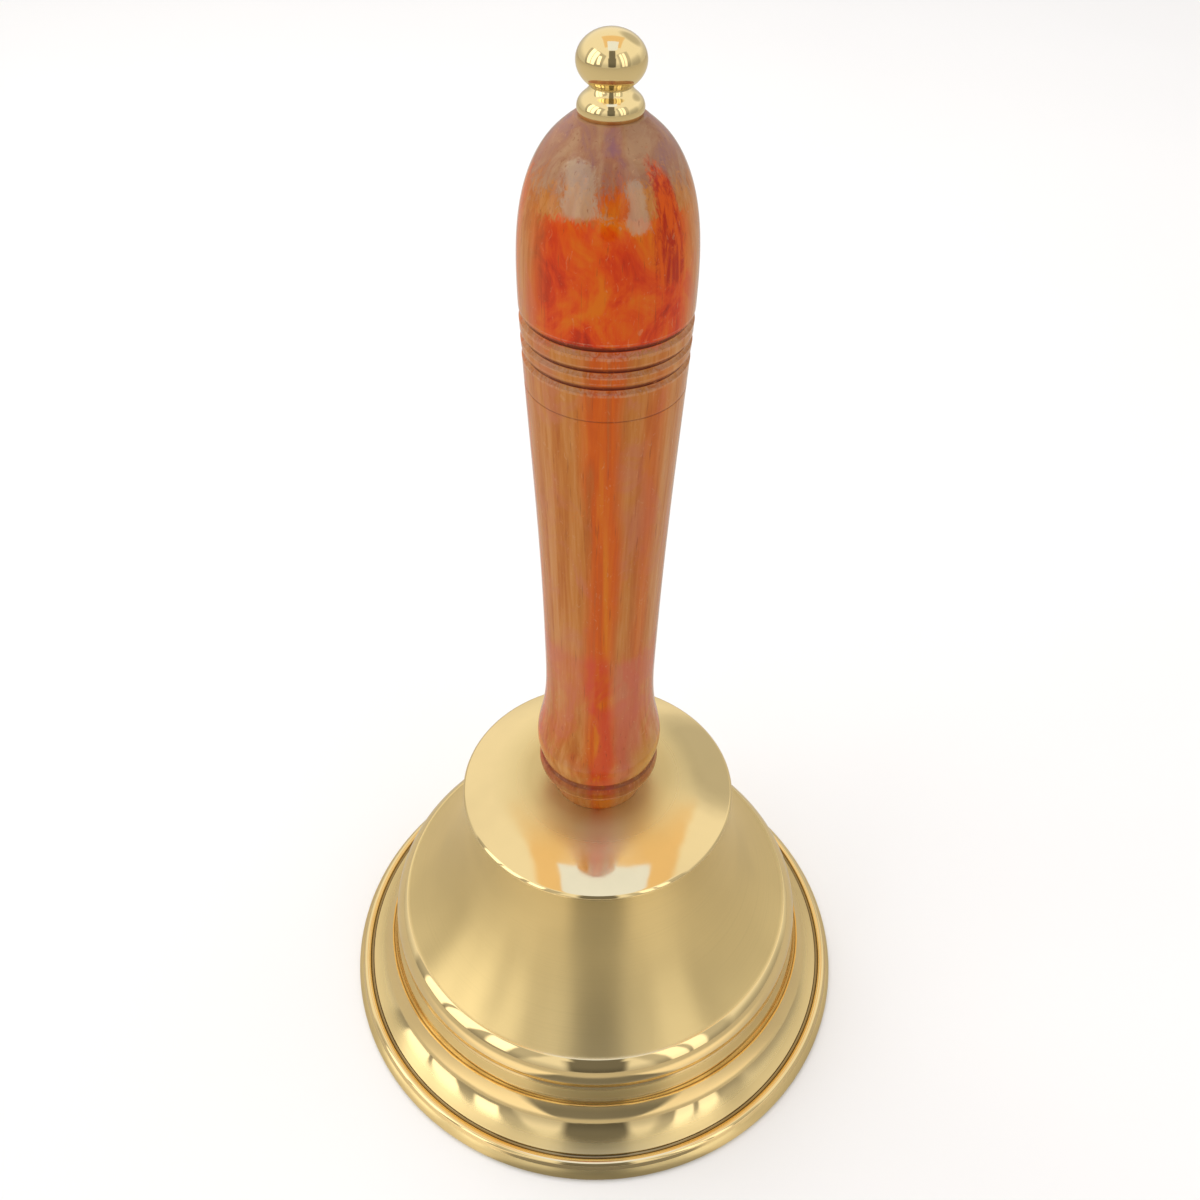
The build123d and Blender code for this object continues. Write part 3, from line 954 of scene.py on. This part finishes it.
def build_nuts():
    """Crown nut, yoke nut and the striker's jam nut."""
    nuts = (
        ("crown_hex", crown_nut_low, crown_nut_high, 2.5, "bell", "crown_nut"),
        ("yoke_hex", yoke_nut_low, yoke_nut_high, ROD_END_RADIUS, "bell", "yoke_nut"),
        ("jam_hex", jam_low, jam_high, 2.0, "clapper", "jam_nut"),
    )
    for name, low, high, hole, body, node in nuts:
        piece = hex_nut(name, high.y - low.y, hole, low.z, high.z)
        finished(piece, zinc, "zinc_steel", body, node)


def build_striker():
    """Brass ball with a flat for its nut."""
    radius = striker_high.x
    centre = striker_low.z + radius
    flat = 3.6
    top_angle = math.degrees(math.acos(flat / radius))
    polished, turned = 0.7, 0.3
    outline = marked(ellipse(centre, radius, radius, -90, top_angle, 110), polished)
    outline[0] = (0.0, outline[0][1], polished)
    outline += marked([(2.3, striker_high.z), (0.0, striker_high.z)], turned)
    piece = lathe("striking_ball", softened(outline, 0.25), segments=160)
    finished(piece, striker_brass, "striker_brass", "clapper", "clapper_ball")


def build_spacers():
    """Two nylon sleeves on the pin, one mesh."""
    outer = spacer_high.y
    inner_gap = 2.2
    sides = []
    for start, end in ((spacer_low.x, -inner_gap), (inner_gap, spacer_high.x)):
        outline = ring_outline(outer, PIN_RADIUS, start, end, 0.18)
        sides.append(turned_sideways(lathe("sleeve", outline, closed=True, segments=96)))
    with bpy.context.temp_override(
        active_object=sides[0], selected_editable_objects=sides, selected_objects=sides
    ):
        bpy.ops.object.join()
    sides[0].name = "pin_sleeves"
    finished(sides[0], spacer_nylon, "spacer_plastic", "yoke", "pin_spacers")


def build_pin():
    """Headed steel pin along X."""
    head_radius, head_start, head_end = pin_high.y, pin_low.x, yoke_low.x
    dome_rise, chamfer = 0.35, 0.3
    crown = (0.6, head_start + 0.02), (2.2, head_start + dome_rise), (head_radius, head_end - dome_rise)
    outline = [(0.0, head_start), *arc(*crown, 14), (head_radius, head_end), (PIN_RADIUS, head_end)]
    outline += [(PIN_RADIUS, pin_high.x - chamfer), (PIN_RADIUS - chamfer, pin_high.x), (0.0, pin_high.x)]
    piece = turned_sideways(lathe("headed_pin", softened(marked(outline, MIRROR), 0.12), segments=96))
    finished(piece, steel, "steel", "yoke", "clapper_pin")


def dress_cad(node, material):
    """Puts a material on a CAD node that is shown as it is."""
    cad = frame["nodes"][node]
    cad.data.materials.clear()
    cad.data.materials.append(material)


build_shell()
build_handle()
build_collar()
build_ball()
build_rod()
build_washers()
build_nuts()
build_striker()
build_spacers()
build_pin()
for node, material in (("clapper_yoke", steel), ("pin_clip", zinc), ("clapper_arm", steel)):
    dress_cad(node, material)

# ---------------------------------------------------------------- stage and light


def build_floor():
    """Plain pale floor. Mirrored in the brass it is dimmer, with a painted pool of light in front of the
    bell and a painted onlooker's shadow in it.
    """
    size = 3000.0
    corners = [(-size, -size, 0), (size, -size, 0), (size, size, 0), (-size, size, 0)]
    floor = mesh_object("floor", corners, [(0, 1, 2, 3)])
    s = Shader("pale_floor")
    place, x, y, z = s.millimetres()
    colour = s.mix(s.noise(place, 0.004, 2), (0.92, 0.92, 0.92, 1), (0.95, 0.95, 0.95, 1))
    # A painted pool of light in front of the bell, seen only in reflections.
    near = s.times(s.steps(s.distance(x, y), 150.0, 95.0), s.steps(y, -30.0, -75.0))
    mirrored = s.mix(near, (0.56, 0.54, 0.49, 1), (1.0, 0.96, 0.87, 1))
    shade_middle, shade_edge, shade_core = 3.0, 31.0, 24.0
    from_middle = s.math("ABSOLUTE", s.plus(x, -shade_middle))
    # A painted onlooker's shadow in that pool, seen only in reflections.
    shaded = s.times(s.steps(from_middle, shade_edge, shade_core), near)
    mirrored = s.mix(s.times(shaded, 0.88), mirrored, (0.10, 0.11, 0.12, 1))
    in_gloss = s.node("ShaderNodeLightPath").outputs["Is Glossy Ray"]
    colour = s.mix(in_gloss, colour, mirrored)
    floor.data.materials.append(s.set(colour=colour, rough=0.9, specular=0.0))


class WorldShader(Shader):
    """The same short calls, for the world's nodes."""

    def __init__(self, name):
        self.world = bpy.data.worlds.new(name)
        self.world.use_nodes = True
        self.tree = self.world.node_tree
        self.background = self.tree.nodes["Background"]

    def dot(self, direction, axis):
        made = self.node("ShaderNodeVectorMath", operation="DOT_PRODUCT")
        self.feed(made.inputs[0], direction)
        made.inputs[1].default_value = tuple(axis)
        return made.outputs["Value"]

    def panel(self, direction, towards, half_width, half_height, bar=0.0, edge=0.02):
        """1 inside a rectangle seen in one direction, 0 outside, with an optional upright bar."""
        n = Vector(towards).normalized()
        right = n.cross(Vector((0, 0, 1))).normalized()
        up = right.cross(n)
        ahead = self.dot(direction, n)
        safe = self.larger(ahead, 0.001)
        u = self.math("ABSOLUTE", self.math("DIVIDE", self.dot(direction, right), safe))
        v = self.math("ABSOLUTE", self.math("DIVIDE", self.dot(direction, up), safe))
        inside = self.flip(self.steps(u, half_width - edge, half_width + edge))
        inside = self.times(inside, self.flip(self.steps(v, half_height - edge, half_height + edge)))
        if bar:
            inside = self.times(inside, self.steps(u, bar - 0.01, bar + 0.01))
        return self.times(inside, self.math("GREATER_THAN", ahead, 0.01))

    def dimmed(self, light, share, amount):
        """The light, weaker by an amount where the share is 1."""
        return self.times(light, self.flip(self.times(share, amount)))


def room_light(w, direction, height):
    """Brightness of the room: pale, brighter above, dim at the right, dark walls and an onlooker."""
    room = w.plus(0.62, w.times(w.steps(height, 0.02, 0.40), 0.33))
    right_back = w.steps(w.dot(direction, Vector((0.46, 0.72, 0.52)).normalized()), 0.925, 0.985)
    room = w.dimmed(room, right_back, 0.42)
    room = w.dimmed(room, w.panel(direction, (1.0, -0.10, 0.05), 0.35, 0.35, edge=0.15), 0.30)
    room = w.dimmed(room, w.panel(direction, (-0.84, -0.46, 0.36), 0.62, 0.60, edge=0.05), 0.42)
    room = w.dimmed(room, w.panel(direction, (0.66, -0.66, 0.36), 0.34, 0.60, edge=0.05), 0.38)
    head = w.panel(direction, (0.03, -0.80, 0.50), 0.17, 0.66, edge=0.03)
    shoulders = w.panel(direction, (0.03, -0.90, 0.30), 0.22, 0.34, edge=0.04)
    return w.dimmed(room, w.larger(head, shoulders), 0.80)


def window_light(w, direction):
    """A barred window and a narrow one at the left, a fainter barred one at the right."""
    left = w.panel(direction, (-0.88, -0.32, 0.45), 0.26, 0.46, bar=0.02)
    left = w.plus(left, w.panel(direction, (-0.66, -0.72, 0.40), 0.09, 0.30))
    right = w.panel(direction, (0.62, -0.68, 0.42), 0.16, 0.46, bar=0.02)
    return w.times(w.plus(left, w.times(right, 0.7)), 1.25)


def ceiling_colour(w, direction, height):
    """Warm beams overhead with a bluish skylight in front of them, plain elsewhere."""
    depth = w.dot(direction, (0, 1, 0))
    side = w.math("ABSOLUTE", w.plus(w.dot(direction, (1, 0, 0)), -0.04))
    beams = w.times(w.steps(depth, -0.20, -0.18), w.flip(w.steps(depth, 0.50, 0.56)))
    beams = w.times(beams, w.flip(w.steps(side, 0.31, 0.35)))
    beams = w.times(beams, w.steps(height, 0.70, 0.76))
    colour = w.mix(beams, (1.0, 0.985, 0.955, 1), (0.96, 0.72, 0.46, 1))
    skylight = w.times(w.steps(height, 0.90, 0.93), w.flip(w.steps(depth, 0.17, 0.19)))
    skylight = w.times(skylight, w.flip(w.steps(side, 0.20, 0.22)))
    return w.mix(skylight, colour, (0.95, 1.10, 1.55, 1))


def build_world():
    """A pale room: beams and skylight above, windows on each side, an onlooker in front."""
    w = WorldShader("pale_room")
    direction = w.node("ShaderNodeTexCoord").outputs["Generated"]
    height = w.dot(direction, (0, 0, 1))
    light = w.plus(room_light(w, direction, height), window_light(w, direction))
    w.feed(w.background.inputs["Color"], ceiling_colour(w, direction, height))
    w.feed(w.background.inputs["Strength"], light)
    bpy.context.scene.world = w.world


def add_area(name, place, target, size, power):
    """Square soft light, in metres, that faces a point."""
    data = bpy.data.lights.new(name, "AREA")
    data.size = size
    data.energy = power
    lamp = bpy.data.objects.new(name, data)
    lamp.location = place
    lamp.visible_glossy = False
    lamp.rotation_euler = (Vector(target) - Vector(place)).to_track_quat("-Z", "Y").to_euler()
    bpy.context.scene.collection.objects.link(lamp)


def build_camera():
    """Camera above and in front of the bell, looking down on the crown."""
    in_mouth_radii = Vector((-0.004, -2.687, 4.437))
    place = in_mouth_radii * MOUTH_RADIUS * MM
    pitch = math.radians(42.37)
    roll = math.radians(1.04)
    forward = Vector((0, math.cos(pitch), -math.sin(pitch)))
    right = Vector((1, 0, 0))
    up = right.cross(forward)
    rolled_right = math.cos(roll) * right + math.sin(roll) * up
    rolled_up = -math.sin(roll) * right + math.cos(roll) * up
    data = bpy.data.cameras.new("camera")
    data.sensor_width = 36.0
    data.lens = 34.5
    data.clip_start = 0.01
    camera = bpy.data.objects.new("camera", data)
    turn = Matrix((rolled_right, rolled_up, -forward)).transposed().to_4x4()
    camera.matrix_world = Matrix.Translation(place) @ turn
    bpy.context.scene.collection.objects.link(camera)
    bpy.context.scene.camera = camera


build_floor()
build_world()
add_area("overhead", (-0.25, 0.35, 1.1), (0, 0, 0.08), 0.7, 4.0)
build_camera()
bpy.context.scene.view_settings.view_transform = "Standard"
